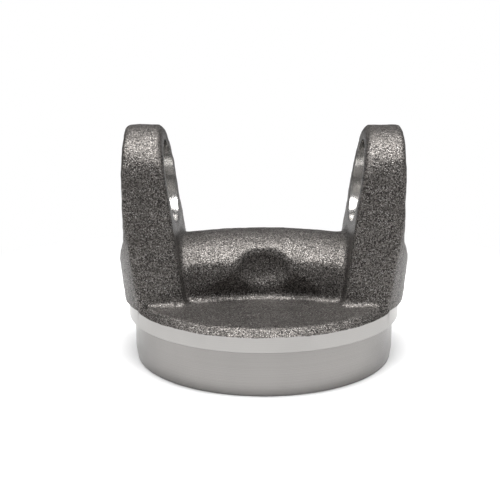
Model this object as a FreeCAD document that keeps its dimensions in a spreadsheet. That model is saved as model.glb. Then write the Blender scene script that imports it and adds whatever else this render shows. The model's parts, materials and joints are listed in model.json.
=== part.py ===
"""Tube yoke of a driveshaft: one steel forging, turned to fit a tube, bored for a joint cross.

Millimetres.  Z is the shaft's axis, with the tube's end down at z = 0, and X is the bores' axis.
"""
import FreeCAD, Part
import math
import os
import Sketcher

# Driving sizes: alias, value, meaning.  All heights are above the lower end face.
SIZES = [
    ("ring_diameter", 101.6, "weld shoulder, the tube's outside diameter"),
    ("pilot_diameter", 97.38, "pilot pressed into the tube's bore"),
    ("pilot_length", 16.35, "end face to weld shoulder"),
    ("lead_in_length", 4.3, "taper that starts the pilot in the tube"),
    ("lead_in_depth", 0.56, "radial depth of that taper"),
    ("shoulder_width", 5.55, "height of the turned weld shoulder"),
    ("plate_rim", 2.5, "forged rim above the shoulder, bevelled"),
    ("bore_diameter", 30.18, "bearing caps of the joint cross"),
    ("bore_height", 65.6, "bore axis above the end face"),
    ("cap_span", 92.1, "between the inner faces of the snap ring grooves"),
    ("snap_groove_width", 1.6, "along the bore"),
    ("snap_groove_depth", 0.9, "radial"),
    ("bore_chamfer", 0.8, "outer edge of each bore"),
    ("ear_span", 100.6, "over the outer faces of the ears"),
    ("ear_gap", 68.0, "between the ears at the bore axis"),
    ("ear_draft", 8.0, "lean of the inner faces, degrees"),
    ("tip_radius", 20.6, "round end of an ear about the bore"),
    ("side_draft", 4.7, "lean of the ears' front and back faces, degrees"),
    ("flare_height", 47.0, "where the outer face starts to flare"),
    ("flare_angle", 20.0, "lean of that flare, degrees"),
    ("foot_offset", 14.0, "upright axis about which each foot is rounded"),
    ("foot_radius", 38.6, "radius of the foot at its underside"),
    ("foot_draft", 4.9, "the rounding widens upwards, degrees"),
    ("ear_inner_edge", 1.4, "bevel round the ears' inner faces"),
    ("ear_outer_edge", 1.0, "bevel round the ears' outer faces"),
    ("web_height", 47.2, "crest of the web between the ears"),
    ("web_round", 22.2, "radius of the web's top, seen along the bores"),
    ("web_width", 36.0, "front lip to back lip"),
    ("web_arch", 240.0, "radius of the crest's slight arch"),
    ("waist_width", 26.6, "thickness of the web at its foot"),
    ("waist_round", 67.0, "radius of the foot's hollow curve in plan"),
    ("waist_lean", 19.0, "overhang of the wall under the lip, degrees"),
    ("web_fillet", 2.5, "web to ears, and both to the plate"),
    ("scoop_radius", 10.4, "dished relief in the web's front and back"),
    ("scoop_spread", 44.0, "between the centres of the two dishes"),
    ("scoop_height", 36.5, "centre of the dishes"),
    ("web_lip", 1.2, "rounded lips of the web and rims of its dishes"),
    ("hollow_diameter", 81.0, "mouth of the forged hollow underneath"),
    ("hollow_depth", 14.0, "end face to the hollow's roof"),
    ("hollow_draft", 7.0, "lean of its wall, degrees"),
    ("hollow_corner", 4.0, "bevel between its wall and roof"),
]

document = FreeCAD.newDocument("weld_yoke")
sheet = document.addObject("Spreadsheet::Sheet", "dim")
for row, (alias, value, meaning) in enumerate(SIZES, start=1):
    sheet.set(f"A{row}", alias)
    sheet.set(f"B{row}", str(value))
    sheet.setAlias(f"B{row}", alias)
    sheet.set(f"C{row}", meaning)
document.recompute()

body = document.addObject("PartDesign::Body", "weld_yoke")
body.Label = "weld_yoke"

# Expressions that several features share
RING_TOP = "(dim.pilot_length + dim.shoulder_width)"
PLATE_TOP = f"({RING_TOP} + dim.plate_rim)"
EAR_TIP = "(dim.bore_height + dim.tip_radius)"


def ear_inner(height):
    """Half the gap between the ears at a height; it opens upwards with the draft."""
    return f"(dim.ear_gap / 2 + ({height} - dim.bore_height) * tan(dim.ear_draft))"


def ear_side(height):
    """Half width of an ear at a height; its tangent to the tip's arc leans by the side draft."""
    slope = "tan(dim.side_draft)"
    return f"(dim.tip_radius / cos(dim.side_draft) - ({height} - dim.bore_height) * {slope})"


def origin_plane(role):
    """One of the body's own origin planes."""
    return next(item for item in body.Origin.OriginFeatures if item.Role == role)


def draw(name, role, outlines, axis=None):
    """Sketch closed outlines on an origin plane.

    A corner is an (x, y) pair of expressions.  A third item makes the side from it to the next
    corner an arc of that radius, bulging to the right of the way along if it is positive.
    axis is the (x, y) start and direction of a construction line for a revolved feature.
    """
    sketch = body.newObject("Sketcher::SketchObject", name)
    sketch.AttachmentSupport = [(origin_plane(role), "")]
    sketch.MapMode = "FlatFace"

    def measure(expression):
        return float(sheet.evalExpression(expression))

    def tie(kind, expression, *place):
        """Add one dimension and bind it to its expression."""
        index = sketch.addConstraint(Sketcher.Constraint(kind, *place, measure(expression)))
        sketch.setExpression(f"Constraints[{index}]", expression)

    def join(*ends):
        sketch.addConstraint(Sketcher.Constraint("Coincident", *ends))

    if axis:
        x, y, direction = axis
        start = FreeCAD.Vector(measure(x), measure(y), 0)
        line = sketch.addGeometry(Part.LineSegment(start, start + direction), True)
        tie("DistanceX", x, -1, 1, line, 1)
        tie("DistanceY", y, -1, 1, line, 1)
        level = "Vertical" if direction.x == 0 else "Horizontal"
        sketch.addConstraint(Sketcher.Constraint(level, line))
        sketch.addConstraint(Sketcher.Constraint("Distance", line, direction.Length))

    for outline in outlines:
        corners = [FreeCAD.Vector(measure(item[0]), measure(item[1]), 0) for item in outline]
        sides = []
        for item, start, end in zip(outline, corners, corners[1:] + corners[:1]):
            if len(item) == 2:
                side = sketch.addGeometry(Part.LineSegment(start, end))
                begin, finish = 1, 2
            else:
                radius, half = measure(item[2]), (end - start) / 2
                sagitta = abs(radius) - math.sqrt(max(radius ** 2 - half.Length ** 2, 0))
                across = FreeCAD.Vector(half.y, -half.x, 0).normalize() * sagitta
                middle = start + half + across * math.copysign(1, radius)
                side = sketch.addGeometry(Part.Arc(start, middle, end))
                begin, finish = (1, 2) if radius > 0 else (2, 1)
                tie("Radius", f"abs({item[2]})", side)
            tie("DistanceX", item[0], -1, 1, side, begin)
            tie("DistanceY", item[1], -1, 1, side, begin)
            sides.append((side, begin, finish))
        for (side, _, finish), (after, begin, _) in zip(sides, sides[1:] + sides[:1]):
            join(side, finish, after, begin)
    return sketch


def feature(kind, name, sketch, **values):
    """Add a feature made from a sketch; text values are expressions, others are set as they are."""
    added = body.newObject(f"PartDesign::{kind}", name)
    if sketch:
        added.Profile = sketch
    for key, value in values.items():
        if isinstance(value, str):
            added.setExpression(key, value)
        else:
            setattr(added, key, value)
    document.recompute()
    return added


def revolved(kind, name, sketch, **values):
    """Revolution or groove about the sketch's construction line."""
    return feature(kind, name, sketch, ReferenceAxis=(sketch, ["Axis0"]), **values)


def through(kind, name, sketch, length):
    """Pad or pocket of a length, half to each side of the sketch."""
    return feature(kind, name, sketch, Type=0, Midplane=True, Length=length)


def mirrored(name, original, role):
    """Repeat a feature on the other side of an origin plane."""
    added = body.newObject("PartDesign::Mirrored", name)
    added.Originals = [original]
    added.MirrorPlane = (origin_plane(role), [""])
    body.Tip = added
    document.recompute()
    return added


def dressed(kind, name, wanted, **values):
    """Fillet or chamfer of the edges for which wanted(edge, its two faces' surfaces) is true."""
    base = body.Tip
    names = []
    for number, edge in enumerate(base.Shape.Edges, start=1):
        faces = base.Shape.ancestorsOfType(edge, Part.Face)
        if not edge.Degenerated and len(faces) == 2 and wanted(edge, faces):
            names.append(f"Edge{number}")
    added = body.newObject(f"PartDesign::{kind}", name)
    added.Base = (base, names)
    for key, value in values.items():
        added.setExpression(key, value)
    document.recompute()
    return added


def is_flat(face, axis, least=0.9):
    """True for a plane whose normal points mostly along one axis, 0 to 2 for X to Z."""
    return isinstance(face.Surface, Part.Plane) and abs(face.Surface.Axis[axis]) > least


def size(alias):
    """Value of a driving size."""
    return float(sheet.evalExpression(f"dim.{alias}"))


def between(first, second):
    """Test for the edges where a face of one kind meets a face of another."""
    def wanted(edge, faces):
        one, other = faces
        return (first(one) and second(other)) or (first(other) and second(one))
    return wanted


UP = FreeCAD.Vector(0, 10, 0)
ALONG = FreeCAD.Vector(10, 0, 0)

# Web between the ears: its section, seen along the bores, follows a slight arch
arch_centre = "dim.web_height - dim.web_arch"
lip = ("(dim.web_height - dim.web_round"
       " + sqrt(dim.web_round ^ 2 - (dim.web_width / 2) ^ 2))")
web_section = draw("web_section", "YZ_Plane", [[
    ("-dim.web_width / 2", "dim.hollow_depth"),
    ("dim.web_width / 2", "dim.hollow_depth"),
    ("dim.web_width / 2", lip, "dim.web_round"),
    ("-dim.web_width / 2", lip),
]], axis=("0", arch_centre, ALONG))
web = revolved("Revolution", "web", web_section, Midplane=True,
               Angle="2 * asin((dim.ear_gap / 2 + 1) / dim.web_arch)")

# The walls under the lips are hollow in plan and overhang
waist_axis = "-(dim.waist_width / 2 + dim.waist_round)"
waist_top = f"({lip} + 2)"
waist_reach = (f"(-dim.waist_width / 2 - ({waist_top} - {PLATE_TOP}) * tan(dim.waist_lean))")
waist_section = draw("waist_section", "YZ_Plane", [[
    (f"{waist_axis} + 1", PLATE_TOP),
    ("-dim.waist_width / 2", PLATE_TOP),
    (waist_reach, waist_top),
    (f"{waist_axis} + 1", waist_top),
]], axis=(waist_axis, "0", UP))
waist = revolved("Groove", "waist", waist_section, Angle=360.0)
mirrored("waist_back", waist, "XZ_Plane")

# Dished reliefs in the middle of the web's front and back
for name, hand in (("scoop_front", -1), ("scoop_back", 1)):
    scoop = feature("SubtractiveSphere", name, None, Radius="dim.scoop_radius")
    scoop.setExpression("Placement.Base.y", f"{hand} * dim.scoop_spread / 2")
    scoop.setExpression("Placement.Base.z", "dim.scoop_height")
document.recompute()


def is_dish(face):
    return isinstance(face.Surface, Part.Sphere)


def is_web_top(face):
    return isinstance(face.Surface, Part.Toroid)


def is_web_wall(face):
    return is_flat(face, 1) or isinstance(face.Surface, Part.Cone)


dressed("Chamfer", "web_lips", lambda edge, faces: (
    between(is_dish, is_web_top)(edge, faces) or between(is_dish, is_web_wall)(edge, faces)
    or between(is_web_top, lambda face: is_flat(face, 1))(edge, faces)), Size="dim.web_lip")

# Ears: front outline of both, drawn on the bores' plane
flare = "tan(dim.flare_angle)"
flare_out = f"(dim.ear_span / 2 + (dim.flare_height - {RING_TOP}) * {flare})"


def ear_front(hand):
    """Front outline of one ear; hand is 1 or -1."""
    corners = [
        (ear_inner(RING_TOP), RING_TOP),
        (flare_out, RING_TOP),
        ("dim.ear_span / 2", "dim.flare_height"),
        ("dim.ear_span / 2", EAR_TIP),
        (ear_inner(EAR_TIP), EAR_TIP),
    ]
    return [(f"{hand} * {x}", z) for x, z in corners]


ears_section = draw("ears_section", "XZ_Plane", [ear_front(1), ear_front(-1)])
through("Pad", "ears", ears_section, f"2 * {ear_side(RING_TOP)} + 4")

# Side outline of the ears: a round tip about the bore, tangent to leaning sides
margin = f"({ear_side(RING_TOP)} + 6)"
tangent_y = "dim.tip_radius * cos(dim.side_draft)"
tangent_z = "(dim.bore_height + dim.tip_radius * sin(dim.side_draft))"
floor = f"({RING_TOP} - 4)"
ears_side = draw("ears_side", "YZ_Plane", [[
    (f"-{ear_side(floor)}", floor),
    (f"-{margin}", floor),
    (f"-{margin}", f"({EAR_TIP} + 5)"),
    (margin, f"({EAR_TIP} + 5)"),
    (margin, floor),
    (ear_side(floor), floor),
    (tangent_y, tangent_z, "dim.tip_radius"),
    (f"-{tangent_y}", tangent_z),
]])
through("Pocket", "ears_outline", ears_side, f"2 * {flare_out} + 10")
ear_middle = (size("ear_gap") + size("ear_span")) / 4


def is_ear_inside(face):
    return is_flat(face, 0) and abs(face.CenterOfMass.x) < ear_middle


def is_ear_outside(face):
    return is_flat(face, 0) and abs(face.CenterOfMass.x) > ear_middle


def is_ear_edge(face):
    """Front, back and round end of an ear."""
    leaning = is_flat(face, 1) and abs(face.CenterOfMass.y) > size("web_width") / 2 + 1
    return leaning or (isinstance(face.Surface, Part.Cylinder)
                       and face.CenterOfMass.z > size("bore_height"))


dressed("Chamfer", "ears_outer_edge", between(is_ear_outside, is_ear_edge),
        Size="dim.ear_outer_edge")
dressed("Chamfer", "ears_inner_edge", between(is_ear_inside, is_ear_edge),
        Size="dim.ear_inner_edge")

# Each foot is rounded about an upright axis and widens upwards
foot_top = "(dim.bore_height + dim.tip_radius)"
foot_far = f"(dim.foot_offset + dim.foot_radius + 30)"
foot_section = draw("foot_section", "XZ_Plane", [[
    (f"(dim.foot_offset + dim.foot_radius - tan(dim.foot_draft))", f"({RING_TOP} - 1)"),
    (foot_far, f"({RING_TOP} - 1)"),
    (foot_far, foot_top),
    (f"(dim.foot_offset + dim.foot_radius + ({foot_top} - {RING_TOP}) * tan(dim.foot_draft))",
     foot_top),
]], axis=("dim.foot_offset", "0", UP))
foot = revolved("Groove", "foot_round", foot_section, Midplane=True, Angle=100.0)
mirrored("foot_round_left", foot, "YZ_Plane")

# Turned pilot and weld shoulder under a forged plate with a rounded rim
base_section = draw("base_section", "XZ_Plane", [[
    ("0", "0"),
    ("dim.pilot_diameter / 2 - dim.lead_in_depth", "0"),
    ("dim.pilot_diameter / 2", "dim.lead_in_length"),
    ("dim.pilot_diameter / 2", "dim.pilot_length"),
    ("dim.ring_diameter / 2", "dim.pilot_length"),
    ("dim.ring_diameter / 2", RING_TOP),
    ("dim.ring_diameter / 2 - dim.plate_rim", PLATE_TOP),
    ("0", PLATE_TOP),
]], axis=("0", "0", UP))
revolved("Revolution", "base", base_section, Angle=360.0)

# Forged hollow underneath
mouth = "dim.hollow_diameter / 2"
roof_edge = f"({mouth} - dim.hollow_depth * tan(dim.hollow_draft))"
corner_foot = "(dim.hollow_depth - dim.hollow_corner)"
hollow_section = draw("hollow_section", "XZ_Plane", [[
    ("0", "-1"),
    (f"{mouth} + tan(dim.hollow_draft)", "-1"),
    (f"{mouth} - {corner_foot} * tan(dim.hollow_draft)", corner_foot),
    (f"{roof_edge} - dim.hollow_corner", "dim.hollow_depth"),
    ("0", "dim.hollow_depth"),
]], axis=("0", "0", UP))
revolved("Groove", "hollow", hollow_section, Angle=360.0)
plate_top = size("pilot_length") + size("shoulder_width") + size("plate_rim")


def is_plate(face):
    return is_flat(face, 2) and abs(face.CenterOfMass.z - plate_top) < 0.01


def is_web(face):
    """Any face of the web, its lips and dishes."""
    centre = face.CenterOfMass
    return (abs(centre.y) < size("web_width") / 2 + 0.1 and abs(centre.x) < ear_middle
            and plate_top + 0.1 < centre.z < size("web_height") + 0.1
            and not is_ear_inside(face))


def is_on_plate(face):
    """Any face above the plate, so not its rim."""
    return face.BoundBox.ZMax > plate_top + 0.1


dressed("Fillet", "web_and_foot", lambda edge, faces: (
    between(is_ear_inside, is_web)(edge, faces)
    or between(is_plate, is_on_plate)(edge, faces)), Radius="dim.web_fillet")


# One line of bores through both ears, with chamfered mouths and a snap ring groove in each
ear_out = "(dim.ear_span / 2)"
bore_radius = "(dim.bore_diameter / 2)"
ring_in = "(dim.cap_span / 2)"
ring_out = "(dim.cap_span / 2 + dim.snap_groove_width)"
bore_top = f"(dim.bore_height + {bore_radius})"
past = f"({ear_out} + 5)"
bore_section = draw("bore_section", "XZ_Plane", [[
    (f"-{past}", "dim.bore_height"),
    (past, "dim.bore_height"),
    (past, f"{bore_top} + dim.bore_chamfer + 5"),
    (f"{ear_out} - dim.bore_chamfer", bore_top),
    (ring_out, bore_top),
    (ring_out, f"{bore_top} + dim.snap_groove_depth"),
    (ring_in, f"{bore_top} + dim.snap_groove_depth"),
    (ring_in, bore_top),
    (f"-{ring_in}", bore_top),
    (f"-{ring_in}", f"{bore_top} + dim.snap_groove_depth"),
    (f"-{ring_out}", f"{bore_top} + dim.snap_groove_depth"),
    (f"-{ring_out}", bore_top),
    (f"-({ear_out} - dim.bore_chamfer)", bore_top),
    (f"-{past}", f"{bore_top} + dim.bore_chamfer + 5"),
]], axis=("0", "dim.bore_height", ALONG))
revolved("Groove", "bores", bore_section, Angle=360.0)


def inner_mouth(edge, faces):
    """Where a bore comes out of an ear's inner face."""
    return (between(is_ear_inside, lambda face: isinstance(face.Surface, Part.Cylinder))(edge, faces)
            and edge.CenterOfMass.z < size("bore_height") + 5)


dressed("Chamfer", "inner_mouths", inner_mouth, Size="dim.bore_chamfer")

document.recompute()
for item in document.Objects:
    if "Invalid" in item.State or "Error" in item.State:
        raise RuntimeError(f"{item.Label}: {item.State}")
shape = body.Shape
if shape.isNull() or not shape.isValid() or len(shape.Solids) != 1:
    raise RuntimeError("weld_yoke is not one valid solid")
os.makedirs("parts", exist_ok=True)
shape.exportStep("parts/weld_yoke.step")
print(f"weld_yoke: {shape.Volume / 1000:.1f} cm3, {shape.Volume * 7.85e-6:.2f} kg in steel")
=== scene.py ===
# %% [markdown]
# # A forged weld yoke
# The part is made the way the factory makes it.  First comes a rough forging with a little stock
# left where it will be machined.  Then a lathe tool turns the round end, and a boring tool cuts
# the two bores.  Each cut leaves crisp edges and its own bright finish on a dark, grainy skin.

# %% Load the measured model
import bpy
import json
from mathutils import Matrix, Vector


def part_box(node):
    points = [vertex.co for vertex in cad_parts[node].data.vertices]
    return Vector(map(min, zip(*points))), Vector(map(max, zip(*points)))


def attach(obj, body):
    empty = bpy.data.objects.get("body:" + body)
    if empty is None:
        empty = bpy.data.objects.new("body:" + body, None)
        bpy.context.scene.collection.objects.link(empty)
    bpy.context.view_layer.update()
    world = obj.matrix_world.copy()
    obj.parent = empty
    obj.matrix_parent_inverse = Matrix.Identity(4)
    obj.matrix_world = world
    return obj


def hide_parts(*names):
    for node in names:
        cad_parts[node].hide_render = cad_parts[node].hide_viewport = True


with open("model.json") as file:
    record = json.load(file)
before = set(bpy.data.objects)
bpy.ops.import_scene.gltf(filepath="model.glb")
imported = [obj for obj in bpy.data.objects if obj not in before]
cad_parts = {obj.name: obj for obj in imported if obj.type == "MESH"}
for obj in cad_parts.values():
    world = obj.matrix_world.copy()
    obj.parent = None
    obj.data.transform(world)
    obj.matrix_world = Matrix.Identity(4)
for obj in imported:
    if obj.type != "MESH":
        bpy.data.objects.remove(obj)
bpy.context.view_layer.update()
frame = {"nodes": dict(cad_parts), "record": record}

# %% Modules and units
import json
import math

import bmesh
import bpy
from mathutils import Matrix, Vector, noise

MM = 0.001
NODE = "weld_yoke"
mounts = {mount["name"]: mount for mount in frame["record"]["mounts"]}

# %% [markdown]
# ## Sizes
# The bores, the pilot and the weld shoulder are the places where other parts fit, so their sizes
# are read from the model's own record.  Only what the record leaves out is written here.

# %% Sizes in millimetres
bore_radius = mounts["ear_bore"]["dims"]["r_mm"]
bore_height = mounts["ear_bore"]["pos_m"][2] / MM
bore_reach = mounts["ear_bore"]["dims"]["length_mm"] / 2
pilot_radius = mounts["tube_pilot"]["dims"]["r_mm"]
shoulder_height = mounts["weld_shoulder"]["pos_m"][2] / MM
lead_in_length = shoulder_height - mounts["tube_pilot"]["dims"]["length_mm"]
lead_in_depth = 0.56
ring_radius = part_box(NODE)[1].y / MM
ring_width = 5.55
ring_top = shoulder_height + ring_width
hollow_radius = 40.5
ear_inside = 34.0
ear_lean = math.radians(8.0)
snap_ring = (46.05, 47.65, 0.9)
print(f"across: bores {2 * bore_radius:.2f}, pilot {2 * pilot_radius:.2f}, "
      f"ring {2 * ring_radius:.2f}")


# %% [markdown]
# ## Turned tools
# A lathe can only cut round shapes, so every tool here is a profile spun about a line.  The
# profile is a short list of corners, each a distance from the line and a distance along it.

# %% Spin a profile into a closed tool
def spun(name, corners, steps, along_bores=False):
    """Closed mesh of a profile of (radius, distance) corners in mm spun about Z or the bores."""
    mesh = bmesh.new()
    rim = [mesh.verts.new((radius, 0, along)) for radius, along in corners]
    edges = [mesh.edges.new(pair) for pair in zip(rim, rim[1:] + rim[:1])]
    bmesh.ops.spin(mesh, geom=rim + edges, cent=(0, 0, 0), axis=(0, 0, 1),
                   angle=math.tau, steps=steps, use_merge=True)
    bmesh.ops.remove_doubles(mesh, verts=mesh.verts, dist=1e-4)
    bmesh.ops.dissolve_degenerate(mesh, dist=1e-4, edges=mesh.edges)
    if along_bores:
        turn = Matrix.Rotation(math.radians(90), 4, "Y")
        mesh.transform(turn)
        mesh.transform(Matrix.Translation((0, 0, bore_height)))
    mesh.transform(Matrix.Scale(MM, 4))
    bmesh.ops.recalc_face_normals(mesh, faces=mesh.faces)
    data = bpy.data.meshes.new(name)
    mesh.to_mesh(data)
    mesh.free()
    tool = bpy.data.objects.new(name, data)
    bpy.context.scene.collection.objects.link(tool)
    return tool


# %% [markdown]
# ## The rough forging
# A voxel remesh wraps one even skin over everything inside it.  Given the measured shape and a
# few rings of extra stock, it gives what comes out of the dies: one lump with soft edges.

# %% Stock for the lathe and for the boring bar
end_stock = 1.2
ring_stock = 1.1
bore_stock = 1.6
ear_stock = 0.4
below_ring_top = 0.9
core_radius = 12.0
plug_end = 50.1
inner, outer = hollow_radius + 0.1, ring_radius + ring_stock
stock = [spun("base_stock", [(inner, -end_stock), (outer, -end_stock),
                             (outer, ring_top - below_ring_top),
                             (inner, ring_top - below_ring_top)], 96)]
for side in (-1, 1):
    inside, outside = side * (ear_inside + ear_stock), side * plug_end
    plug = [(core_radius, inside), (bore_radius + bore_stock, inside),
            (bore_radius + bore_stock, outside), (core_radius, outside)]
    stock.append(spun("bore_stock", plug, 64, along_bores=True))
    for vert in stock[-1].data.vertices:
        if abs(vert.co.x) < (ear_inside + 1) * MM:
            vert.co.x += side * (vert.co.z - bore_height * MM) * math.tan(ear_lean)

# %% Wrap them in one skin
VOXEL = 0.85 * MM
SMOOTHING_ROUNDS = 5


def applied(piece):
    """Turn a piece's modifiers into plain mesh."""
    view = bpy.context.evaluated_depsgraph_get()
    baked = bpy.data.meshes.new_from_object(piece.evaluated_get(view), depsgraph=view)
    piece.modifiers.clear()
    piece.data = baked
    return piece


def skin_of(name, sources):
    """One voxel-remeshed piece that wraps all the sources."""
    joined = bmesh.new()
    for source in sources:
        joined.from_mesh(source.data)
    data = bpy.data.meshes.new(name)
    joined.to_mesh(data)
    joined.free()
    piece = bpy.data.objects.new(name, data)
    bpy.context.scene.collection.objects.link(piece)
    remesh = piece.modifiers.new("wrap", "REMESH")
    remesh.mode = "VOXEL"
    remesh.voxel_size = VOXEL
    soften = piece.modifiers.new("soften", "SMOOTH")
    soften.factor = 0.5
    soften.iterations = SMOOTHING_ROUNDS
    return applied(piece)


yoke = skin_of("yoke_forging", [frame["nodes"][NODE]] + stock)
for item in stock:
    bpy.data.objects.remove(item)
print("forging:", len(yoke.data.polygons), "faces")

# %% [markdown]
# ## Die wear and scale
# Dies wear and hot scale presses into the steel, so a forged face is never flat.  The skin is
# moved in and out along its normals by a slow swell and a finer pitting.  The noise is a fixed
# function of place, so each run gives the same forging.

# %% Roughen the skin
# Each wave: how fast it changes per mm, where its pattern starts, and its height in mm
WAVES = [(0.06, (0, 0, 0), 0.22), (0.22, (7, 3, 1), 0.14), (0.55, (1, 9, 4), 0.10)]
SHRINK = 0.08


def swell(place):
    """Distance in mm that a point of the skin moves out, at a place in mm."""
    return sum(noise.noise(place * pace + Vector(start)) * tall
               for pace, start, tall in WAVES) - SHRINK


places = [vert.co.copy() for vert in yoke.data.vertices]
normals = [vert.normal.copy() for vert in yoke.data.vertices]
for vert, place, normal in zip(yoke.data.vertices, places, normals):
    vert.co = place + normal * swell(place / MM) * MM
low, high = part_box(NODE)
for vert in yoke.data.vertices:
    vert.co.x = max(low.x, min(high.x, vert.co.x))
    vert.co.z = min(high.z, vert.co.z)
yoke.data.update()

# %% [markdown]
# ## Machining
# An exact boolean behaves like a real cut.  Whatever the tool leaves behind takes the tool's
# surface and its material, and the edge between skin and cut runs as unevenly as the skin does.

# %% Three finishes, filled in further down
forged = bpy.data.materials.new("forged_skin")
turned = bpy.data.materials.new("turned_steel")
bored = bpy.data.materials.new("bored_steel")
yoke.data.materials.clear()
yoke.data.materials.append(forged)


def cut(piece, tool, finish, how):
    """Cut a piece with a tool whose faces wear a finish."""
    tool.data.materials.append(finish)
    step = piece.modifiers.new("cut", "BOOLEAN")
    step.operation = how
    step.solver = "EXACT"
    step.material_mode = "TRANSFER"
    step.object = tool
    applied(piece)
    bpy.data.objects.remove(tool)
    print(f"{how.lower()} with {finish.name}: {len(piece.data.polygons)} faces")


# %% Turn the pilot, the weld shoulder and the end face
break_edge = 0.18
skim_above_ring = 0.6
clear_above_ring = 0.9
tool_clearance = 12
tool_top = 95
lathe = spun("lathe_cut", [
    (0, 0), (pilot_radius - lead_in_depth - break_edge, 0),
    (pilot_radius - lead_in_depth, break_edge),
    (pilot_radius, lead_in_length), (pilot_radius, shoulder_height),
    (ring_radius - break_edge, shoulder_height),
    (ring_radius, shoulder_height + break_edge), (ring_radius, ring_top + skim_above_ring),
    (ring_radius + tool_clearance, ring_top + clear_above_ring),
    (ring_radius + tool_clearance, tool_top), (0, tool_top),
], 240)
cut(yoke, lathe, turned, "INTERSECT")

# %% Bore the ears and cut the snap ring grooves
groove_start, groove_end, groove_depth = snap_ring
overrun = 6
half = [(bore_radius, 0), (bore_radius, groove_start),
        (bore_radius + groove_depth, groove_start), (bore_radius + groove_depth, groove_end),
        (bore_radius, groove_end), (bore_radius, bore_reach),
        (bore_radius + overrun, bore_reach + overrun)]
mirror_half = [(radius, -along) for radius, along in reversed(half[1:])]
bar_ends = [(0, bore_reach + overrun), (0, -bore_reach - overrun)]
bar = spun("boring_cut", mirror_half + half[1:] + bar_ends, 128, along_bores=True)
cut(yoke, bar, bored, "DIFFERENCE")

# %% Finish the mesh
for polygon in yoke.data.polygons:
    polygon.use_smooth = True
yoke.data.set_sharp_from_angle(angle=math.radians(35))
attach(yoke, "root")
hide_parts(NODE)
print("materials on the yoke:", [slot.material.name for slot in yoke.material_slots])


# %% [markdown]
# ## Writing materials as sums
# A material is a small program made of nodes.  This class lets it be written as one: arithmetic
# on a wire adds Math nodes, and any other node comes from one method.

# %% A socket that takes part in sums
class Wire:
    """A socket in a material's node tree."""

    def __init__(self, tree, socket=None):
        self.tree = tree
        self.socket = socket

    def node(self, kind, settings=None, sockets=None, outlet=0):
        """Add a node: its settings are set first, then the values or links of its sockets."""
        made = self.tree.nodes.new(kind)
        for name, value in (settings or {}).items():
            if name == "stops":
                ramp = made.color_ramp.elements
                while len(ramp) < len(value):
                    ramp.new(0.5)
                for stop, (position, colour) in zip(ramp, value):
                    stop.position = position
                    stop.color = (*colour, 1)
            else:
                setattr(made, name, value)
        for name, value in (sockets or {}).items():
            if isinstance(value, Wire):
                self.tree.links.new(value.socket, made.inputs[name])
            else:
                made.inputs[name].default_value = value
        return Wire(self.tree, made.outputs[outlet]) if made.outputs else None

    def _sum(self, operation, one, other):
        return self.node("ShaderNodeMath", {"operation": operation}, {0: one, 1: other})

    def __add__(self, other):
        return self._sum("ADD", self, other)

    def __radd__(self, other):
        return self._sum("ADD", other, self)

    def __sub__(self, other):
        return self._sum("SUBTRACT", self, other)

    def __rsub__(self, other):
        return self._sum("SUBTRACT", other, self)

    def __mul__(self, other):
        return self._sum("MULTIPLY", self, other)

    def __rmul__(self, other):
        return self._sum("MULTIPLY", other, self)

    def ramp(self, low, high):
        """0 below low, 1 above high, smooth between them."""
        return self.node("ShaderNodeMapRange", {"interpolation_type": "SMOOTHSTEP"},
                         {"Value": self, "From Min": low, "From Max": high})

    def blend(self, dark, light):
        """Mix two colours, with this wire as the share of the second."""
        return self.node("ShaderNodeMix", {"data_type": "RGBA"},
                         {0: self, 6: dark, 7: light}, outlet=2)


def started(material):
    """Clear a material's nodes and return a wire to its tree and its place in mm."""
    material.use_nodes = True
    material.node_tree.nodes.clear()
    tree = Wire(material.node_tree)
    object_place = tree.node("ShaderNodeTexCoord", outlet="Object")
    place = tree.node("ShaderNodeVectorMath", {"operation": "SCALE"},
                      {0: object_place, "Scale": 1 / MM})
    return tree, place


def noise_of(tree, place, size, detail=2.0, roughness=0.5, outlet="Fac"):
    """Cloudy noise between 0 and 1 whose blobs are about size mm across."""
    return tree.node("ShaderNodeTexNoise", {"noise_dimensions": "3D"},
                     {"Vector": place, "Scale": 1 / size, "Detail": detail,
                      "Roughness": roughness}, outlet=outlet)


def shaded(tree, **sockets):
    """End a material with a Principled shader."""
    names = {name.replace("_", " "): value for name, value in sockets.items()}
    shader = tree.node("ShaderNodeBsdfPrincipled", sockets=names)
    tree.node("ShaderNodeOutputMaterial", sockets={"Surface": shader})


# %% [markdown]
# ## Forged skin
# Shot blasting knocks the scale off and leaves thousands of tiny dents.  Each dent catches the
# light for itself, which gives a dark grey-brown skin full of bright specks.  Here the specks
# are
# painted glints: pale spots painted into the colour over the bumped dents.

# %% Forged skin
tree, place = started(forged)
grain = noise_of(tree, place, 0.62, detail=3.0, roughness=0.65)
specks = noise_of(tree, place, 0.34, detail=1.0)
patches = noise_of(tree, place, 6.0, detail=3.0)
# Painted glints: pale specks painted into the colour stand in for dents catching the light.
painted_glint_spots = specks.ramp(0.56, 0.74)
tone = grain.ramp(0.42, 0.62).blend((0.016, 0.014, 0.013, 1), (0.135, 0.124, 0.115, 1))
tone = painted_glint_spots.blend(tone, (0.42, 0.40, 0.38, 1))
tone = (patches.ramp(0.35, 0.75) * 0.35).blend(tone, (0.045, 0.041, 0.037, 1))
relief = grain * 0.6 + specks * 0.4
dents = tree.node("ShaderNodeBump", None,
                  {"Strength": 1.0, "Distance": 0.30 * MM, "Height": relief})
shaded(tree, Base_Color=tone, Metallic=0.75, Roughness=0.43, Normal=dents)

# %% [markdown]
# ## Turned steel
# The lathe leaves fine rings round the part.  They are too small to count, but they pull each
# reflection up and down, so the light falls on the ring in soft upright bands.

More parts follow.
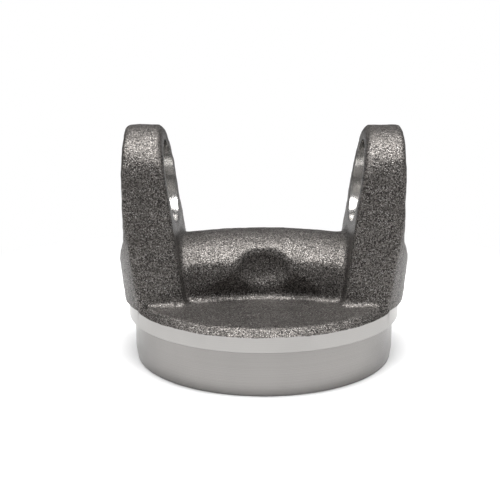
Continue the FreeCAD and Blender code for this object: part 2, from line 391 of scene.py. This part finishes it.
# %% Turned steel
tree, place = started(turned)
height = tree.node("ShaderNodeSeparateXYZ", None, {0: place}, outlet="Z")
rings = tree.node("ShaderNodeTexNoise", {"noise_dimensions": "1D"},
                  {"W": height, "Scale": 7.0, "Detail": 3.0, "Roughness": 0.7})
smudge = noise_of(tree, place, 9.0, detail=3.0)
shine = smudge.ramp(0.35, 0.7) * 0.05 + 0.30
# Painted shade: the pilot below the weld shoulder is coloured darker than the ring above it, for
# the shade near the table.
ring_vs_painted_pilot_shade = height.ramp(shoulder_height - 0.1, shoulder_height + 0.1)
scratch = tree.node("ShaderNodeBump", None,
                    {"Strength": 0.35, "Distance": 0.02 * MM, "Height": rings})
tone = ring_vs_painted_pilot_shade.blend((0.185, 0.178, 0.171, 1), (0.275, 0.268, 0.259, 1))
tone = (rings.ramp(0.3, 0.7) * 0.25).blend(tone, (0.42, 0.41, 0.40, 1))
shaded(tree, Base_Color=tone, Metallic=1.0, Roughness=shine, Normal=scratch)

# %% Bored steel
tree, place = started(bored)
across = tree.node("ShaderNodeSeparateXYZ", None, {0: place}, outlet="X")
rings = tree.node("ShaderNodeTexNoise", {"noise_dimensions": "1D"},
                  {"W": across, "Scale": 5.0, "Detail": 3.0, "Roughness": 0.7})
scratch = tree.node("ShaderNodeBump", None,
                    {"Strength": 0.3, "Distance": 0.02 * MM, "Height": rings})
tone = (rings.ramp(0.3, 0.7) * 0.5).blend((0.50, 0.49, 0.475, 1), (0.62, 0.61, 0.60, 1))
shaded(tree, Base_Color=tone, Metallic=1.0, Roughness=0.22, Normal=scratch)

# %% [markdown]
# ## The studio
# The yoke stands on a white table under one large soft lamp overhead, with weaker lamps at the
# sides.  Steel shows what is around it, so the table and the backdrop are part of its look.
# Far from the yoke, the camera sees the table as plain white, so no horizon shows.

# %% Table and backdrop
floor_mesh = bpy.data.meshes.new("table")
sheet = bmesh.new()
bmesh.ops.create_grid(sheet, x_segments=1, y_segments=1, size=1.5)
sheet.to_mesh(floor_mesh)
sheet.free()
table = bpy.data.objects.new("table", floor_mesh)
table.location.z = -0.0001
bpy.context.scene.collection.objects.link(table)
white = bpy.data.materials.new("white_table")
tree, place = started(white)
paper = tree.node("ShaderNodeBsdfDiffuse", None, {"Color": (0.9, 0.9, 0.9, 1)})
glow = tree.node("ShaderNodeEmission", None, {"Color": (1, 1, 1, 1), "Strength": 1.0})
away = tree.node("ShaderNodeVectorMath", {"operation": "LENGTH"}, {0: place}, outlet="Value")
seen = tree.node("ShaderNodeLightPath", outlet="Is Camera Ray")
far_off = away.ramp(90.0, 200.0) * seen
surface = tree.node("ShaderNodeMixShader", None, {0: far_off, 1: paper, 2: glow})
tree.node("ShaderNodeOutputMaterial", None, {"Surface": surface})
floor_mesh.materials.append(white)

# %% World
world = bpy.data.worlds.new("studio")
bpy.context.scene.world = world
world.use_nodes = True
world.node_tree.nodes.clear()
tree = Wire(world.node_tree)
seen = tree.node("ShaderNodeLightPath", outlet="Is Camera Ray")
dim = tree.node("ShaderNodeBackground", None, {"Color": (0.22, 0.22, 0.225, 1), "Strength": 1.0})
bright = tree.node("ShaderNodeBackground", None, {"Color": (1, 1, 1, 1), "Strength": 1.0})
shell = tree.node("ShaderNodeMixShader", None, {0: seen, 1: dim, 2: bright})
tree.node("ShaderNodeOutputWorld", None, {"Surface": shell})


# %% Lamps
def softbox(name, place, aim, width, depth, power):
    """A rectangular lamp at a place, pointed at another, in metres and watts."""
    lamp = bpy.data.lights.new(name, "AREA")
    lamp.shape = "RECTANGLE"
    lamp.size, lamp.size_y, lamp.energy = width, depth, power
    holder = bpy.data.objects.new(name, lamp)
    holder.location = place
    holder.rotation_euler = (Vector(aim) - Vector(place)).to_track_quat("-Z", "Y").to_euler()
    bpy.context.scene.collection.objects.link(holder)


softbox("overhead", (0, -0.06, 0.55), (0, 0, 0.03), 0.5, 0.3, 6.6)
softbox("left", (-0.62, -0.25, 0.25), (0, 0, 0.04), 0.2, 0.4, 0.7)
softbox("right", (0.62, -0.2, 0.25), (0, 0, 0.04), 0.2, 0.4, 0.7)

# %% Camera
camera = bpy.data.cameras.new("camera")
camera.sensor_width = 36
camera.lens = 72.7
camera.shift_x = -0.0276
viewer = bpy.data.objects.new("camera", camera)
viewer.location = (0, -0.368, 0.1344)
viewer.rotation_euler = (math.radians(75.46), 0, 0)
bpy.context.scene.collection.objects.link(viewer)
bpy.context.scene.camera = viewer
bpy.context.scene.view_settings.view_transform = "Standard"
